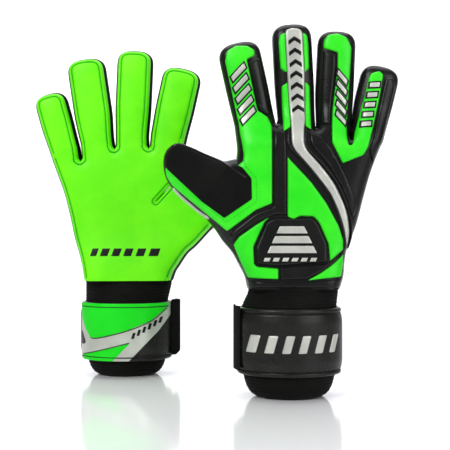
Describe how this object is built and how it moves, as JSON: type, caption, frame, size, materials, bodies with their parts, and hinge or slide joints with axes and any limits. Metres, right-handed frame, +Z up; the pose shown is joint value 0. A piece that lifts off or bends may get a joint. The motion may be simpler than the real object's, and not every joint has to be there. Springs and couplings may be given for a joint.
{
  "type": "pair of goalkeeper gloves",
  "caption": "Pair of foam-palmed goalkeeper gloves with hinged fingers, stretch cuffs and opening wrist straps, standing fingers up.",
  "frame": {"origin": "on the floor, at the centre of the pair's box", "axes": "+X to the right, +Y away from the viewer and +Z up the fingers; the front glove shows its back to -Y and the rear glove its palm"},
  "size_m": [0.2826, 0.1606, 0.2739],
  "materials": {
    "lime_latex": "soft foamed latex with a fine matte grain",
    "green_foam": "satin coated foam, embossed and stitched",
    "black_foam": "glossy coated foam, embossed",
    "black_fabric": "matte knitted fabric",
    "silver_film": "pearl silver coated film",
    "strap_rubber": "satin moulded band with stitched edges",
    "elastic_rib": "ribbed elastic knit",
    "hook_tape": "hook and loop tape"
  },
  "bodies": {
    "front_cuff": {"front_cuff_elastic": "elastic_rib", "front_wrist_elastic": "elastic_rib", "front_strap_back": "strap_rubber", "front_loop_tape": "hook_tape"},
    "front_strap": {"front_strap_flap": "strap_rubber", "front_strap_tab": "strap_rubber", "front_hook_tape": "hook_tape"},
    "front_hand": {"front_palm_latex": "lime_latex", "front_hand_lining": "black_fabric", "front_back_shell": "black_foam", "front_index_side_panel": "green_foam", "front_centre_panel": "green_foam", "front_silver_band": "silver_film", "front_wrist_badge": "black_foam", "front_wrist_side_panel": "green_foam"},
    "front_index": {"front_index_latex": "lime_latex", "front_index_stall": "black_fabric", "front_index_back": "green_foam"},
    "front_middle": {"front_middle_latex": "lime_latex", "front_middle_stall": "black_fabric", "front_middle_back": "green_foam"},
    "front_ring": {"front_ring_latex": "lime_latex", "front_ring_stall": "black_fabric", "front_ring_back": "green_foam"},
    "front_little": {"front_little_latex": "lime_latex", "front_little_stall": "black_fabric", "front_little_back": "green_foam"},
    "front_thumb": {"front_thumb_latex": "lime_latex", "front_thumb_stall": "black_fabric", "front_thumb_back": "black_fabric"},
    "rear_cuff": {"rear_cuff_elastic": "elastic_rib", "rear_wrist_elastic": "elastic_rib", "rear_strap_back": "strap_rubber", "rear_loop_tape": "hook_tape"},
    "rear_strap": {"rear_strap_flap": "strap_rubber", "rear_strap_tab": "strap_rubber", "rear_hook_tape": "hook_tape"},
    "rear_hand": {"rear_palm_latex": "lime_latex", "rear_hand_lining": "black_fabric", "rear_back_shell": "black_foam", "rear_index_side_panel": "green_foam", "rear_centre_panel": "green_foam", "rear_silver_band": "silver_film", "rear_wrist_badge": "black_foam", "rear_wrist_side_panel": "green_foam"},
    "rear_index": {"rear_index_latex": "lime_latex", "rear_index_stall": "black_fabric", "rear_index_back": "green_foam"},
    "rear_middle": {"rear_middle_latex": "lime_latex", "rear_middle_stall": "black_fabric", "rear_middle_back": "green_foam"},
    "rear_ring": {"rear_ring_latex": "lime_latex", "rear_ring_stall": "black_fabric", "rear_ring_back": "green_foam"},
    "rear_little": {"rear_little_latex": "lime_latex", "rear_little_stall": "black_fabric", "rear_little_back": "green_foam"},
    "rear_thumb": {"rear_thumb_latex": "lime_latex", "rear_thumb_stall": "black_fabric", "rear_thumb_back": "black_fabric"}
  },
  "joints": [
    {"name": "front_strap_open", "type": "hinge", "parent": "front_cuff", "child": "front_strap", "pos_m": [0.10204, -0.05, 0.0415], "axis": [0, 0, -1], "range_deg": [0, 110], "stiffness_Nm_per_rad": 0.03},
    {"name": "front_wrist_bend", "type": "hinge", "parent": "front_cuff", "child": "front_hand", "pos_m": [0.06324, -0.05, 0.07475], "axis": [1, 0, 0], "range_deg": [-20, 30], "stiffness_Nm_per_rad": 1.2, "deforming": ["front_wrist_elastic"]},
    {"name": "front_index_bend", "type": "hinge", "parent": "front_hand", "child": "front_index", "pos_m": [0.03824, -0.031, 0.2015], "axis": [-0.9763, 0, -0.2164], "range_deg": [0, 85], "stiffness_Nm_per_rad": 0.08},
    {"name": "front_middle_bend", "type": "hinge", "parent": "front_hand", "child": "front_middle", "pos_m": [0.06914, -0.031, 0.201], "axis": [-0.9986, 0, -0.0523], "range_deg": [0, 85], "stiffness_Nm_per_rad": 0.08},
    {"name": "front_ring_bend", "type": "hinge", "parent": "front_hand", "child": "front_ring", "pos_m": [0.09624, -0.031, 0.1955], "axis": [-0.999, 0, 0.0436], "range_deg": [0, 85], "stiffness_Nm_per_rad": 0.08},
    {"name": "front_little_bend", "type": "hinge", "parent": "front_hand", "child": "front_little", "pos_m": [0.11984, -0.031, 0.1895], "axis": [-0.9724, 0, 0.2334], "range_deg": [0, 85], "stiffness_Nm_per_rad": 0.08},
    {"name": "front_thumb_bend", "type": "hinge", "parent": "front_hand", "child": "front_thumb", "pos_m": [0.00864, -0.031, 0.1482], "axis": [-0.6018, 0, -0.7986], "range_deg": [0, 60], "stiffness_Nm_per_rad": 0.08},
    {"name": "rear_glove_place", "type": "slide", "parent": "front_cuff", "child": "rear_cuff", "axis": [1, 0, 0], "range_m": [-0.15, 0]},
    {"name": "rear_strap_open", "type": "hinge", "parent": "rear_cuff", "child": "rear_strap", "pos_m": [-0.10596, 0.05, 0.038], "axis": [0, 0, -1], "range_deg": [0, 110], "stiffness_Nm_per_rad": 0.03},
    {"name": "rear_wrist_bend", "type": "hinge", "parent": "rear_cuff", "child": "rear_hand", "pos_m": [-0.06716, 0.05, 0.07125], "axis": [-1, 0, 0], "range_deg": [-20, 30], "stiffness_Nm_per_rad": 1.2, "deforming": ["rear_wrist_elastic"]},
    {"name": "rear_index_bend", "type": "hinge", "parent": "rear_hand", "child": "rear_index", "pos_m": [-0.03176, 0.031, 0.1985], "axis": [0.9763, 0, -0.2164], "range_deg": [0, 85], "stiffness_Nm_per_rad": 0.08},
    {"name": "rear_middle_bend", "type": "hinge", "parent": "rear_hand", "child": "rear_middle", "pos_m": [-0.06226, 0.031, 0.198], "axis": [0.999, 0, -0.0436], "range_deg": [0, 85], "stiffness_Nm_per_rad": 0.08},
    {"name": "rear_ring_bend", "type": "hinge", "parent": "rear_hand", "child": "rear_ring", "pos_m": [-0.09116, 0.031, 0.1925], "axis": [0.9893, 0, 0.1461], "range_deg": [0, 85], "stiffness_Nm_per_rad": 0.08},
    {"name": "rear_little_bend", "type": "hinge", "parent": "rear_hand", "child": "rear_little", "pos_m": [-0.11836, 0.031, 0.186], "axis": [0.9636, 0, 0.2672], "range_deg": [0, 85], "stiffness_Nm_per_rad": 0.08},
    {"name": "rear_thumb_bend", "type": "hinge", "parent": "rear_hand", "child": "rear_thumb", "pos_m": [-0.00466, 0.031, 0.1395], "axis": [0.6018, 0, -0.7986], "range_deg": [0, 60], "stiffness_Nm_per_rad": 0.08}
  ]
}
